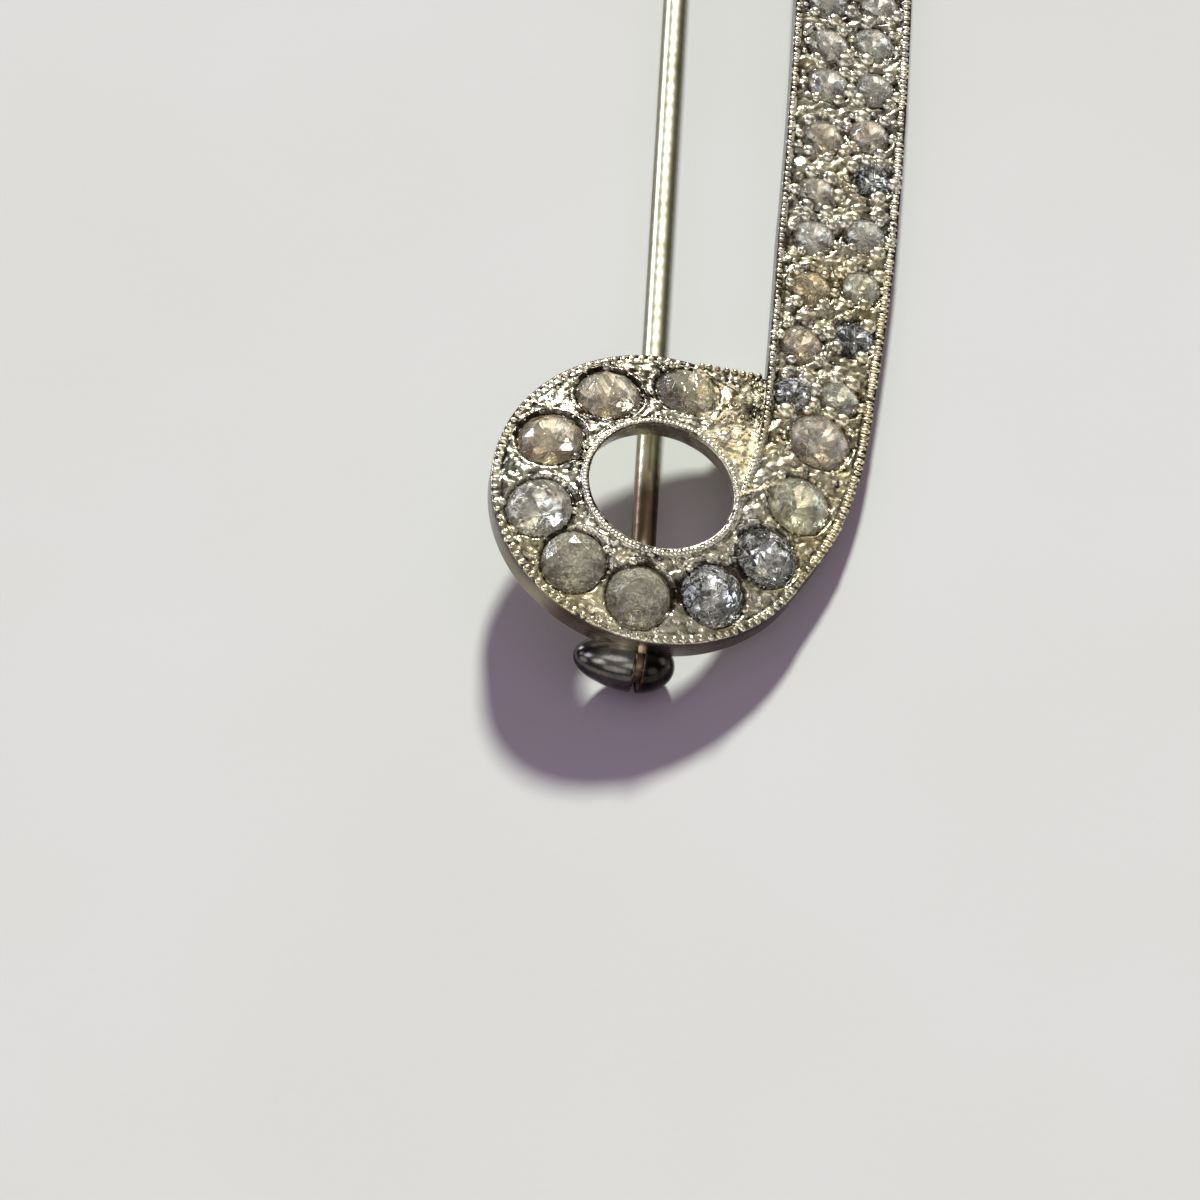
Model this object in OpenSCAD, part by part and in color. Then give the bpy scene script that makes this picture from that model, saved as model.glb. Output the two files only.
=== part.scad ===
// Paste-set safety pin brooch: a cast strip that runs down as a bar and curls into a domed loop,
// with a wire pin that swings on a ball joint behind the loop. It lies on its back, leaning
// to its right, and rests on the ball joint, the catch and the bar's lower edge.

/* [Loop] */
// Radius of the round hole at its front edge
hole_r = 3.4; // [3.2:0.05:3.5]
// Widening of the hole towards the back
hole_draft = 0.2; // [0:0.05:0.3]
// Width of the strip round the loop
loop_w = 4.28; // [4.1:0.02:4.5]
// Fall of the surface from the hole to the outer edge, below the hole and at the sides
dome_fall = 1.25; // [1:0.05:1.4]
// Fall of the surface from the hole to the outer edge above the hole
top_fall = 0.8; // [0.6:0.05:1]
// Angle, anticlockwise from the right, where the strip of the loop begins
loop_start = 62; // [58:1:64]

/* [Bar] */
// Width of the strip along the bar
bar_w = 5.7; // [5.5:0.05:5.9]
// Depth of the bar's left edge behind the front of the loop
bar_left_z = 0.4; // [0.2:0.05:0.6]
// Depth of the bar's right edge behind the front of the loop
bar_right_z = 0.75; // [0.5:0.05:0.9]
// Length of the straight piece between the loop and the bend
neck_l = 0.6; // [0.4:0.1:1]
// Length of the bend that brings the bar upright
bend_l = 7.7; // [7.4:0.1:8]
// Angle that the bend turns through
bend_turn = 21; // [19:0.5:22]
// Length of the slightly curved lower part of the bar
bar_curved = 25; // [24:0.5:28]
// Length of the straight upper part of the bar
bar_straight = 20.4; // [18:0.2:24]

/* [Strip] */
// Height of the edge walls of the cast strip
wall_h = 1.2; // [1.15:0.05:1.4]
// Distance that the edge walls draw in towards the back
wall_draft = 0.1; // [0:0.02:0.15]
// Height of the raised rims above the bed of the stones
rim_h = 0.22; // [0.1:0.02:0.3]
// Width of each raised rim
rim_w = 0.34; // [0.3:0.02:0.5]

/* [Wedge] */
// Depth of the bare wedge between the loop's end and the bar, at its upper left
wedge_z = 0.45; // [0.3:0.05:0.6]
// Slope of the wedge down towards the bar
wedge_slope = 10; // [8:1:12]
// Slope of the wedge down away from the hole
wedge_fall = 9; // [6:1:12]
// Thickness of the wedge
wedge_t = 0.9; // [0.8:0.05:1]

/* [Head] */
// Radius of the turn of the strip over the pin, at the strip's middle
head_r = 5; // [4.5:0.1:5.5]
// Straight length of the head beyond the turn
head_reach = 4.6; // [4.2:0.1:5]

/* [Stones] */
// Diameter of the loop's stones
loop_stone_d = 3; // [2.8:0.05:3.1]
// Diameter of the bar's stones
bar_stone_d = 2.1; // [1.9:0.05:2.2]
// Pitch of the stones along the bar
bar_pitch = 2.86; // [2.8:0.02:2.9]
// Gap between a stone and its seat
seat_gap = 0.05; // [0.03:0.01:0.08]

/* [Pin] */
// Diameter of the pin wire
wire_d = 1.15; // [1:0.05:1.2]
// Distance of the wire's middle behind the front of the loop
wire_z = 3.3; // [3.2:0.05:3.4]
// Distance of the wire to the left of the hole's centre
wire_left = 0.1; // [0:0.05:0.3]
// Distance of the hinge axis below the hole's centre
hinge_drop = 7.6; // [7.5:0.05:7.7]
// Length of the pin's tapered point
point_l = 5; // [4:0.5:8]
// Thickness of the flat eye of the pin
eye_t = 0.4; // [0.3:0.05:0.5]
// Radius of the flat eye of the pin
eye_r = 0.85; // [0.75:0.05:0.85]
// Diameter of the rivet
rivet_d = 0.6; // [0.5:0.05:0.7]
// Radial gap between the rivet and the pin's eye
eye_fit = 0.04; // [0.02:0.01:0.08]

// Radial gap between the rivet and the ball joint
rivet_gap = 0.02; // [0.01:0.01:0.04]
// Gap on each side of the flat eye in its slot
slot_gap = 0.03; // [0.02:0.01:0.06]
// Length of the pin's flattened end
tang_l = 1.75; // [1.7:0.05:2]
// Length over which the flattened end swells to the round wire
swell_l = 0.5; // [0.4:0.1:0.8]
// Radius of the blunt tip
tip_r = 0.06; // [0.04:0.01:0.15]

/* [Ball joint] */
// Length of the half ball to the left of the pin
ball_left = 2.9; // [2.6:0.05:3]
// Length of the half ball to the right of the pin
ball_right = 1.75; // [1.6:0.05:1.9]
// Slope of the balls' front, down from the loop's wall
ball_slope = 30; // [20:1:40]

/* [Catch] */
// Width of the catch
catch_w = 2.4; // [2.2:0.1:2.8]
// Length of the catch
catch_l = 3; // [2.5:0.1:3.5]
// Gap round the wire in the catch's trough
catch_gap = 0.075; // [0.05:0.005:0.1]
// Depth that the catch's block sinks into the bar's back
catch_sink = 0.35; // [0.3:0.05:0.45]
// Length of the pin's point past the catch's middle
tip_reach = 2.2; // [1.8:0.1:2.4]

/* [Rest] */
// Lean of the brooch to its right as it lies
lean = 14; // [13:0.5:15]

/* [Hidden] */
$fn = 48;
silver = "#b9b5a6";
brass = "#b3a274";
paste = "#cfc6ae";
loop_mid = hole_r + loop_w / 2;
loop_last = 65;
upright = 90;
loop_turn = loop_last + 270 - loop_start;
// runs of the strip's middle line, from the loop's end to the head: turn in degrees, length, steps
TURN = 0;
RUN = 1;
STEPS = 2;
runs = [
    [loop_turn, arc_length(loop_mid, loop_turn), 48],
    [0, neck_l, 1],
    [bend_turn, bend_l, 10],
    [upright - loop_last - bend_turn, bar_curved, 12],
    [0, bar_straight, 2],
    [90, arc_length(head_r, 90), 14],
    [0, head_reach, 10]
];
loop_end = run_end(0);
bar_end = run_end(4);
strip_end = run_end(6);
blend_l = neck_l + bend_l + bar_curved * 0.4;
// strip's change from loop to bar: share of the blend's length, share of the change in width
widening = [[0, 0], [0.17, 0.48], [0.45, 0.6], [0.68, 0.75], [1, 1]];
// metal inside the hole's edge that the hole then cuts: share of the blend, width
hole_stock = [[0, rim_w * 0.44], [0.16, 0]];
// depth of the strip's edges: distance along the strip, depth behind the front of the loop
inner_depths = [[loop_end, 0], [loop_end + 0.65 * blend_l, bar_left_z]];
outer_depths = [
    [loop_end * 0.14, top_fall], [loop_end * 0.4, dome_fall],
    [loop_end, dome_fall], [loop_end + 0.75 * blend_l, bar_right_z]
];
// stones of the loop: share of the loop's length, then distance past it as share of a stone's
// diameter, then place outwards as share of the strip's width
loop_stones = [
    [0.066, 0, 0.08], [0.205, 0, 0.01], [0.352, 0, 0], [0.496, 0, 0.035], [0.614, 0, 0.035],
    [0.739, 0, 0.035], [0.869, 0, 0.025], [1, 0, 0.035], [1, 1.12, 0.055], [1, 2.37, 0.06]
];
// stones of the bar, row by row, left stone then right: shift as share of the pitch, place
// across as share of the strip's width
bar_stones = [
    [-0.1, -0.245, 0.05, 0.18], [-0.07, -0.22, 0.28, 0.235], [0.07, -0.185, 0.31, 0.245],
    [0.1, -0.195, 0.38, 0.235], [0, -0.2, 0.52, 0.245], [0.17, -0.195, 0.42, 0.2],
    [0.28, -0.18, 0.38, 0.22], [0.1, -0.195, 0.31, 0.195], [0, -0.22, 0.14, 0.22],
    [0.03, -0.2, 0.21, 0.21], [0.07, -0.195, 0.31, 0.22], [0, -0.21, 0.25, 0.2],
    [0.07, -0.195, 0.35, 0.23], [0.03, -0.21, 0.28, 0.21], [0, -0.2, 0.25, 0.21]
];
first_row = loop_place(len(loop_stones) - 1) + 0.865 * bar_pitch;
// share of a stone's diameter: depth below the bed, culet radius, girdle depth, table radius, crown
pavilion = 0.25;
culet = 0.14;
girdle = 0.05;
table = 0.27;
crown = 0.25;
facets = 12;
bed_edge = rim_w + rim_h;
rim_low = rim_h * 0.36;
lap = wall_h / 12;
head_smooth = 0.32 * head_r;
end_half = 0.3;
cut = 0.4 * wall_h;
slot_w = eye_t + 2 * slot_gap;
rivet_r = rivet_d / 2;
wire_r = wire_d / 2;
back_z = dome_fall + wall_h;
right_edge = along(bar_end).x + bar_w / 2;
rest_h = right_edge * sin(lean) + (bar_right_z + wall_h) * cos(lean);
ball_step = 15;
axis_h = rest_h + wire_left * sin(lean) - wire_z * cos(lean);
ball_r = sqrt(pow(axis_h, 2) - pow(ball_right * sin(lean), 2)) / cos(lean);
// foot of the ball joint, inside the ball, that carries it on the loop's back
foot_w = ball_right;
foot_d = 0.4 * ball_r;
head_y = along(strip_end).y;
catch_top = bar_left_z + wall_h - catch_sink;
catch_foot = (rest_h - (catch_w / 2 - wire_left) * sin(lean)) / cos(lean);
tip_y = head_y + tip_reach;
wide = [
    -(hole_r + loop_w - wall_draft) * cos(lean) - back_z * sin(lean),
    right_edge * cos(lean) - bar_right_z * sin(lean)
];
long = [-hinge_drop - ball_r, head_y + bar_w / 2];
middle = [(wide[0] + wide[1]) / 2, (long[0] + long[1]) / 2];

function arc_length(r, turn) = r * turn * PI / 180;

// distance along the strip at the end of run n
function run_end(n) = n < 0 ? 0 : runs[n][RUN] + run_end(n - 1);

function numbered(name, i) = str(name, i < 9 ? "0" : "", i + 1);

// place [x, y, heading] after a run of a given turn and length
function after(p, turn, run) =
    turn == 0
        ? [p.x + run * cos(p.z), p.y + run * sin(p.z), p.z]
        : let (r = run / (turn * PI / 180))
            [
                p.x + r * (sin(p.z + turn) - sin(p.z)),
                p.y - r * (cos(p.z + turn) - cos(p.z)),
                p.z + turn
            ];

// place [x, y, heading] at distance s along the strip's middle line
function along(
    s,
    p = [loop_mid * cos(loop_start), loop_mid * sin(loop_start), loop_start + 90],
    i = 0
) =
    i == len(runs) - 1 || s <= runs[i][RUN]
        ? after(p, runs[i][TURN] * s / runs[i][RUN], s)
        : along(s - runs[i][RUN], after(p, runs[i][TURN], runs[i][RUN]), i + 1);

// distance along the strip of the loop's stone i
function loop_place(i) = loop_end * loop_stones[i][0] + loop_stone_d * loop_stones[i][1];

// share of the way from the loop to the bar at distance s
function blend(s) = (s - loop_end) / blend_l;
function strip_w(s) = loop_w + (bar_w - loop_w) * lookup(blend(s), widening);
function inner_z(s) = -lookup(s, inner_depths);
function outer_z(s) = -lookup(s, outer_depths);

// height of the surface, on the line between the edges, a distance outwards from the middle
function surface_z(s, out) =
    let (share = out / strip_w(s) + 0.5) inner_z(s) * (1 - share) + outer_z(s) * share;

function surface_tilt(s) = atan((inner_z(s) - outer_z(s)) / strip_w(s));

// half the strip's width at distance s, less where the head ends in a round
function half_w(s) =
    let (left = 1 - (strip_end - s) / (bar_w / 2))
        strip_w(s) / 2 * (left > 0 ? max(end_half, sqrt(1 - left * left)) : 1);

// points of the strip's section at distance s, from its inner wall to its outer wall
function section(s) =
    let (
        place = along(s),
        half = half_w(s),
        rim = rim_w * min(1, half / bed_edge / 2),
        bed = bed_edge * min(1, half / bed_edge / 2),
        inner = -half - lookup(blend(s), hole_stock),
        groove = rim_h * min(1, max(0, (bar_end - s) / head_smooth)),
        rows = [
            [inner + wall_draft, inner_z(s) - wall_h],
            [inner, inner_z(s)],
            [rim - half, surface_z(s, rim - half)],
            [bed - half, surface_z(s, bed - half) - groove],
            [half - bed, surface_z(s, half - bed) - groove],
            [half - rim, surface_z(s, half - rim)],
            [half, outer_z(s)],
            [half - wall_draft, outer_z(s) - wall_h]
        ]
    )
    [for (r = rows) [place.x + r[0] * sin(place.z), place.y - r[0] * cos(place.z), r[1]]];

// the strip swept along its middle line
module strip() {
    stations = [
        0,
        for (i = [0 : len(runs) - 1], j = [1 : runs[i][STEPS]])
            run_end(i - 1) + runs[i][RUN] * j / runs[i][STEPS]
    ];
    last = len(stations) - 1;
    n = 8;
    sides = [
        for (i = [0 : last - 1], j = [0 : n - 1])
            let (a = i * n + j, b = i * n + (j + 1) % n)
                each [[a, b + n, b], [a, a + n, b + n]]
    ];
    first_cap = [[0, 1, 2], [0, 2, 3], [0, 3, 4], [0, 4, 7], [7, 4, 5], [7, 5, 6]];
    last_cap = [for (f = first_cap) [for (j = [2 : -1 : 0]) f[j] + last * n]];
    polyhedron([for (s = stations) each section(s)], concat(sides, first_cap, last_cap));
}

// the bare wedge that joins the loop's end to the bar
module wedge() {
    corner = [0.34 * (hole_r + loop_w), 0.52 * (hole_r + loop_w)];
    right = along(loop_end + bend_l).x - bar_w * 0.3;
    top = hole_r + loop_w;
    translate([corner.x, corner.y, -wedge_z])
        rotate([-wedge_fall, wedge_slope, 0])
            translate([-corner.x, -corner.y, -wedge_t])
                linear_extrude(wedge_t)
                    polygon([
                        [0.16 * top, 0.9 * top], [0.2 * top, 0.978 * top],
                        [0.47 * top, 1.02 * top], [right, 1.03 * top],
                        [right, 0.2 * top], [hole_r + 2 * lap, 0], [0.2 * top, 0.42 * top]
                    ]);
}

// the hole's raised rim beside the wedge, a little lower than the rim of the strip
module wedge_rim() {
    from = -28;
    stock = 2 * hole_stock[0][1];
    rotate([0, 0, from])
        rotate_extrude(angle = loop_start + 3 - from)
            translate([hole_r - stock, -wall_h + rim_low])
                square([rim_w + rim_low + stock, wall_h - 2 * rim_low]);
}

// the hole through the loop, wider at the back
module hole() {
    deep = back_z + cut;
    slope = hole_draft / wall_h;
    translate([0, 0, -deep])
        cylinder(h = deep + cut, r1 = hole_r + slope * deep, r2 = hole_r - slope * cut);
}

// children laid along the hinge axis
module on_axis() {
    translate([-wire_left, -hinge_drop, -wire_z]) rotate([0, 90, 0]) children();
}

// two half balls behind the loop, sloped off in front of its wall
module ball_joint() {
    difference() {
        on_axis()
            rotate_extrude()
                polygon([
                    for (a = [-90 : ball_step : 90])
                        [ball_r * cos(a), (a < 0 ? ball_left : ball_right) * sin(a)]
                ]);
        translate([-ball_left - cut, -hole_r - loop_w + lap, -back_z + lap / 4])
            rotate([ball_slope, 0, 0]) translate([0, -3 * ball_r, 0])
                cube([2 * ball_left, 3 * ball_r, 2 * ball_r]);
    }
    translate([-wire_left - foot_w / 2, -hinge_drop, -wire_z])
        cube([foot_w, foot_d, wire_z - back_z + lap]);
}

module joint_slot() {
    deep = 2 * ball_r + cut;
    translate([-wire_left - slot_w / 2, -hinge_drop - deep / 2, -back_z + 1.5 * lap - deep])
        cube([slot_w, deep, deep]);
}

// a plain block under the head, with a trough that the pin drops into
module catch_block() {
    translate([-wire_left - catch_w / 2, head_y - catch_l / 2, -catch_foot])
        cube([catch_w, catch_l, catch_foot - catch_top]);
}

module trough() {
    r = wire_r + catch_gap;
    translate([-wire_left, head_y - catch_l, -wire_z]) {
        rotate([-90, 0, 0]) cylinder(h = 2 * catch_l, r = r);
        translate([-r, 0, -catch_foot]) cube([2 * r, 2 * catch_l, catch_foot]);
    }
}

// children on the strip's bed at distance s, square to its surface
module on_bed(s, out) {
    place = along(s);
    translate([
        place.x + out * sin(place.z), place.y - out * cos(place.z), surface_z(s, out) - rim_h
    ])
        rotate([0, 0, place.z]) rotate([surface_tilt(s), 0, 0]) children();
}

module on_loop(i) {
    s = loop_place(i);
    on_bed(s, loop_stones[i][2] * strip_w(s)) children();
}

module on_bar(i) {
    row = bar_stones[floor(i / 2)];
    side = i % 2 == 0 ? [row[0], row[1]] : [row[2], row[3]];
    s = first_row + bar_pitch * (floor(i / 2) + side[0]);
    on_bed(s, side[1] * strip_w(s)) children();
}

// conical seat for a stone of diameter d
module seat(d) {
    rotate_extrude()
        polygon([
            [0, -pavilion * d - seat_gap], [culet * d + seat_gap, -pavilion * d - seat_gap],
            [d / 2 + seat_gap, -girdle * d], [d / 2 + seat_gap, d], [0, d]
        ]);
}

// round brilliant with a flat table and a blunt culet
module stone(d) {
    rotate_extrude($fn = facets)
        polygon([
            [0, -pavilion * d], [culet * d, -pavilion * d], [d / 2, -girdle * d],
            [d / 2, 0], [table * d, crown * d], [0, crown * d]
        ]);
}

// children as they lie
module at_rest() {
    translate([-middle.x, -middle.y, rest_h]) rotate([0, lean, 0]) children();
}

module frame() {
    color(silver) at_rest() difference() {
        union() {
            strip();
            wedge();
            wedge_rim();
            ball_joint();
            catch_block();
        }
        hole();
        joint_slot();
        trough();
        on_axis() cylinder(h = 3 * ball_left, r = rivet_r + rivet_gap, center = true);
        for (i = [0 : len(loop_stones) - 1]) on_loop(i) seat(loop_stone_d);
        for (i = [0 : 2 * len(bar_stones) - 1]) on_bar(i) seat(bar_stone_d);
    }
}

module hinge_rivet() {
    color(silver) at_rest() on_axis() translate([0, 0, lap - ball_left])
        cylinder(h = ball_left + ball_right - 2 * lap, r = rivet_r);
}

module pin_stem() {
    wire_l = tip_y + hinge_drop - point_l;
    round_from = tang_l - eye_t / 2 + swell_l;
    color(brass) at_rest() difference() {
        union() {
            on_axis() cylinder(h = eye_t, r = eye_r, center = true);
            translate([-wire_left - eye_t / 2, -hinge_drop, -wire_z - wire_r])
                cube([eye_t, tang_l, wire_d]);
            translate([-wire_left, -hinge_drop, -wire_z]) rotate([-90, 0, 0]) {
                translate([0, 0, tang_l - eye_t / 2])
                    cylinder(h = swell_l, r1 = eye_t / 2, r2 = wire_r);
                translate([0, 0, round_from]) cylinder(h = wire_l - round_from, r = wire_r);
                translate([0, 0, wire_l]) cylinder(h = point_l, r1 = wire_r, r2 = tip_r);
            }
        }
        on_axis() cylinder(h = 2 * eye_t, r = rivet_r + eye_fit, center = true);
    }
}

module loop_stone(i) {
    color(paste) at_rest() on_loop(i) stone(loop_stone_d);
}

module bar_stone(i) {
    color(paste) at_rest() on_bar(i) stone(bar_stone_d);
}

frame();
hinge_rivet();
pin_stem();
for (i = [0 : len(loop_stones) - 1])
    loop_stone(i);
for (i = [0 : 2 * len(bar_stones) - 1])
    bar_stone(i);
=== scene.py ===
import math
import random

import bmesh
import bpy
from mathutils import Matrix, Vector, noise


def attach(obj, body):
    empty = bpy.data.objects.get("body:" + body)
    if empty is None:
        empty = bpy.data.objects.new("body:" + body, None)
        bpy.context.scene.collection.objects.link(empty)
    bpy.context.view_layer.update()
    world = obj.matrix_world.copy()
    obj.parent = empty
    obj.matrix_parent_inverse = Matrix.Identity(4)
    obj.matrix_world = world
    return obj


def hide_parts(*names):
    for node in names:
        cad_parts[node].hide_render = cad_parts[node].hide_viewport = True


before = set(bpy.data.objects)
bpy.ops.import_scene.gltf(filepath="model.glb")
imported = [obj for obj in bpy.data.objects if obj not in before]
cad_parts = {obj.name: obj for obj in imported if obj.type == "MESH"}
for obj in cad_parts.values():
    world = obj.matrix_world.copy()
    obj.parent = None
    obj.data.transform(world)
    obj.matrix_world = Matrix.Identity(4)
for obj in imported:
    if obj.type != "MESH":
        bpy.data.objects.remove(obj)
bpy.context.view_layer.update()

MM = 0.001
TAU = 2 * math.pi

# Sizes of the brooch in millimetres and degrees, as in the construction.
# Loop: hole, its widening to the back, strip, falls of the surface, angles where the strip starts and ends
HOLE_R = 3.4
HOLE_DRAFT = 0.2
LOOP_W = 4.28
DOME_FALL = 1.25
TOP_FALL = 0.8
LOOP_START = 62
LOOP_LAST = 65
# Bar: width, depth of its two edges, and its runs from the loop to the head
BAR_W = 5.7
BAR_LEFT_Z = 0.4
BAR_RIGHT_Z = 0.75
NECK_L = 0.6
BEND_L = 7.7
BEND_TURN = 21
BAR_CURVED = 25
BAR_STRAIGHT = 20.4
# Strip: edge walls and rims
WALL_H = 1.2
WALL_DRAFT = 0.1
RIM_H = 0.22
RIM_W = 0.34
# Head: radius of the turn, straight length beyond it
HEAD_R = 5
HEAD_REACH = 4.6
# Stones: diameters, and pitch along the bar
LOOP_D = 3
BAR_D = 2.1
PITCH = 2.86
# Pin and ball joint
WIRE_LEFT = 0.1
WIRE_Z = 3.3
HINGE_DROP = 7.6
BALL_LEFT = 2.9
BALL_RIGHT = 1.75
# Lean of the brooch to its right as it lies
LEAN = math.radians(14)
# Wedge: depth and place of its corner, its two slopes, and its outline
WEDGE_DEPTH = 0.45
WEDGE_CORNER = (2.6, 4)
WEDGE_FALL = 9
WEDGE_SLOPE = 10
WEDGE = [(1.23, 6.91), (1.54, 7.51), (3.61, 7.83), (5.6, 7.91), (5.6, 1.54), (3.6, 0), (1.54, 3.23)]

LOOP_MID = HOLE_R + LOOP_W / 2
LOOP_TURN = LOOP_LAST + 270 - LOOP_START
# runs of the strip's middle line, from the loop's end to the head: turn, length
RUNS = [
    (LOOP_TURN, LOOP_MID * math.radians(LOOP_TURN)), (0, NECK_L), (BEND_TURN, BEND_L),
    (90 - LOOP_LAST - BEND_TURN, BAR_CURVED), (0, BAR_STRAIGHT),
    (90, HEAD_R * math.pi / 2), (0, HEAD_REACH),
]
LOOP_END = RUNS[0][1]
BAR_END = sum(length for _, length in RUNS[:5])
STRIP_END = sum(length for _, length in RUNS)
BLEND_L = NECK_L + BEND_L + BAR_CURVED * 0.4
# distances along the strip: where the loop's own levels of tarnish and painted shade end, and where the bar's
# coarser grains begin
LOOP_DARKENING_END = LOOP_END + 6
COARSE_FROM = LOOP_END + 9

# strip's change from loop to bar: share of the blend's length, share of the change in width
WIDENING = [(0, 0), (0.17, 0.48), (0.45, 0.6), (0.68, 0.75), (1, 1)]
# depth of the strip's edges: distance along the strip, depth behind the front of the loop
INNER_Z = [(LOOP_END, 0), (LOOP_END + 0.65 * BLEND_L, BAR_LEFT_Z)]
OUTER_Z = [
    (LOOP_END * 0.14, TOP_FALL), (LOOP_END * 0.4, DOME_FALL),
    (LOOP_END, DOME_FALL), (LOOP_END + 0.75 * BLEND_L, BAR_RIGHT_Z),
]

# stones of the loop: share of the loop's length, then distance past it as share of a stone's
# diameter, then place outwards as share of the strip's width
LOOP_STONES = [
    (0.066, 0, 0.08), (0.205, 0, 0.01), (0.352, 0, 0), (0.496, 0, 0.035), (0.614, 0, 0.035),
    (0.739, 0, 0.035), (0.869, 0, 0.025), (1, 0, 0.035), (1, 1.12, 0.055), (1, 2.37, 0.06),
]
# stones of the bar, row by row, left stone then right: shift as share of the pitch, place
# across as share of the strip's width
BAR_STONES = [
    (-0.1, -0.245, 0.05, 0.18), (-0.07, -0.22, 0.28, 0.235), (0.07, -0.185, 0.31, 0.245),
    (0.1, -0.195, 0.38, 0.235), (0, -0.2, 0.52, 0.245), (0.17, -0.195, 0.42, 0.2),
    (0.28, -0.18, 0.38, 0.22), (0.1, -0.195, 0.31, 0.195), (0, -0.22, 0.14, 0.22),
    (0.03, -0.2, 0.21, 0.21), (0.07, -0.195, 0.31, 0.22), (0, -0.21, 0.25, 0.2),
    (0.07, -0.195, 0.35, 0.23), (0.03, -0.21, 0.28, 0.21), (0, -0.2, 0.25, 0.21),
]
FIRST_ROW = LOOP_END + LOOP_STONES[-1][1] * LOOP_D + 0.865 * PITCH


# The strip's middle line and its surface

def lookup(x, table):
    """Value at x in a table of rising places, level beyond its ends."""
    if x <= table[0][0]:
        return table[0][1]
    for (x0, y0), (x1, y1) in zip(table, table[1:]):
        if x <= x1:
            return y0 + (y1 - y0) * (x - x0) / (x1 - x0)
    return table[-1][1]


def along(s):
    """Place x, y and heading in degrees at distance s along the strip."""
    start = math.radians(LOOP_START)
    x, y, h = LOOP_MID * math.cos(start), LOOP_MID * math.sin(start), LOOP_START + 90
    for i, (turn, run) in enumerate(RUNS):
        d = s if i == len(RUNS) - 1 or s <= run else run
        if turn == 0:
            x += d * math.cos(math.radians(h))
            y += d * math.sin(math.radians(h))
        else:
            r, t = run / math.radians(turn), turn * d / run
            x += r * (math.sin(math.radians(h + t)) - math.sin(math.radians(h)))
            y -= r * (math.cos(math.radians(h + t)) - math.cos(math.radians(h)))
            h += t
        s -= d
        if s <= 0:
            break
    return x, y, h


def strip_w(s):
    return LOOP_W + (BAR_W - LOOP_W) * lookup((s - LOOP_END) / BLEND_L, WIDENING)


def half_w(s):
    """Half the strip's width, less where the head ends in a round."""
    left = 1 - (STRIP_END - s) / (BAR_W / 2)
    return strip_w(s) / 2 * (max(0.3, math.sqrt(max(0, 1 - left * left))) if left > 0 else 1)


def surface_z(s, out):
    """Height of the line between the strip's edges, a distance outwards from its middle."""
    share = out / strip_w(s) + 0.5
    return -lookup(s, INNER_Z) * (1 - share) - lookup(s, OUTER_Z) * share


def at(s, out, z=0.0):
    """Point on the strip, z above the line between its edges."""
    x, y, h = along(s)
    h = math.radians(h)
    return Vector((x + out * math.sin(h), y - out * math.cos(h), surface_z(s, out) + z))


def bed_matrix(s, out):
    """Axes on the strip's bed, square to its surface."""
    heading = Matrix.Rotation(math.radians(along(s)[2]), 4, "Z")
    tilt = math.atan((lookup(s, OUTER_Z) - lookup(s, INNER_Z)) / strip_w(s))
    return Matrix.Translation(at(s, out, -RIM_H)) @ heading @ Matrix.Rotation(tilt, 4, "X")


# The brooch as it lies: height of the loop's front, radius of the ball, and middle of the box
RIGHT_EDGE = along(BAR_END)[0] + BAR_W / 2
REST_H = RIGHT_EDGE * math.sin(LEAN) + (BAR_RIGHT_Z + WALL_H) * math.cos(LEAN)
AXIS_H = REST_H + WIRE_LEFT * math.sin(LEAN) - WIRE_Z * math.cos(LEAN)
BALL_R = math.sqrt(AXIS_H ** 2 - (BALL_RIGHT * math.sin(LEAN)) ** 2) / math.cos(LEAN)
WIDE = (
    -(HOLE_R + LOOP_W - WALL_DRAFT) * math.cos(LEAN) - (DOME_FALL + WALL_H) * math.sin(LEAN),
    RIGHT_EDGE * math.cos(LEAN) - BAR_RIGHT_Z * math.sin(LEAN),
)
LONG = (-HINGE_DROP - BALL_R, along(STRIP_END)[1] + BAR_W / 2)
LIES_AT = Vector((-sum(WIDE) / 2, -sum(LONG) / 2, REST_H))
REST = Matrix.Scale(MM, 4) @ Matrix.Translation(LIES_AT) @ Matrix.Rotation(LEAN, 4, "Y")


def loop_place(share, past, across):
    s = LOOP_END * share + LOOP_D * past
    return s, across * strip_w(s)


def bar_place(row, shift, across):
    s = FIRST_ROW + PITCH * (row + shift)
    return s, across * strip_w(s)


# places of the stones: distance along the strip, distance outwards from its middle
loop_places = [loop_place(*stone) for stone in LOOP_STONES]
bar_places = [
    bar_place(row, *stone) for row, (a, b, c, d) in enumerate(BAR_STONES) for stone in ((a, b), (c, d))
]
# middle and radius of each stone's girdle
girdles = [(at(*p), LOOP_D / 2) for p in loop_places] + [(at(*p), BAR_D / 2) for p in bar_places]


def stone_gap(p):
    """Distance from the nearest stone's girdle, less than zero on the stone."""
    near = 4
    return min(
        (
            math.hypot(c.x - p.x, c.y - p.y) - r
            for c, r in girdles if abs(c.x - p.x) < near and abs(c.y - p.y) < near
        ),
        default=99.0)


# Materials

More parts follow.
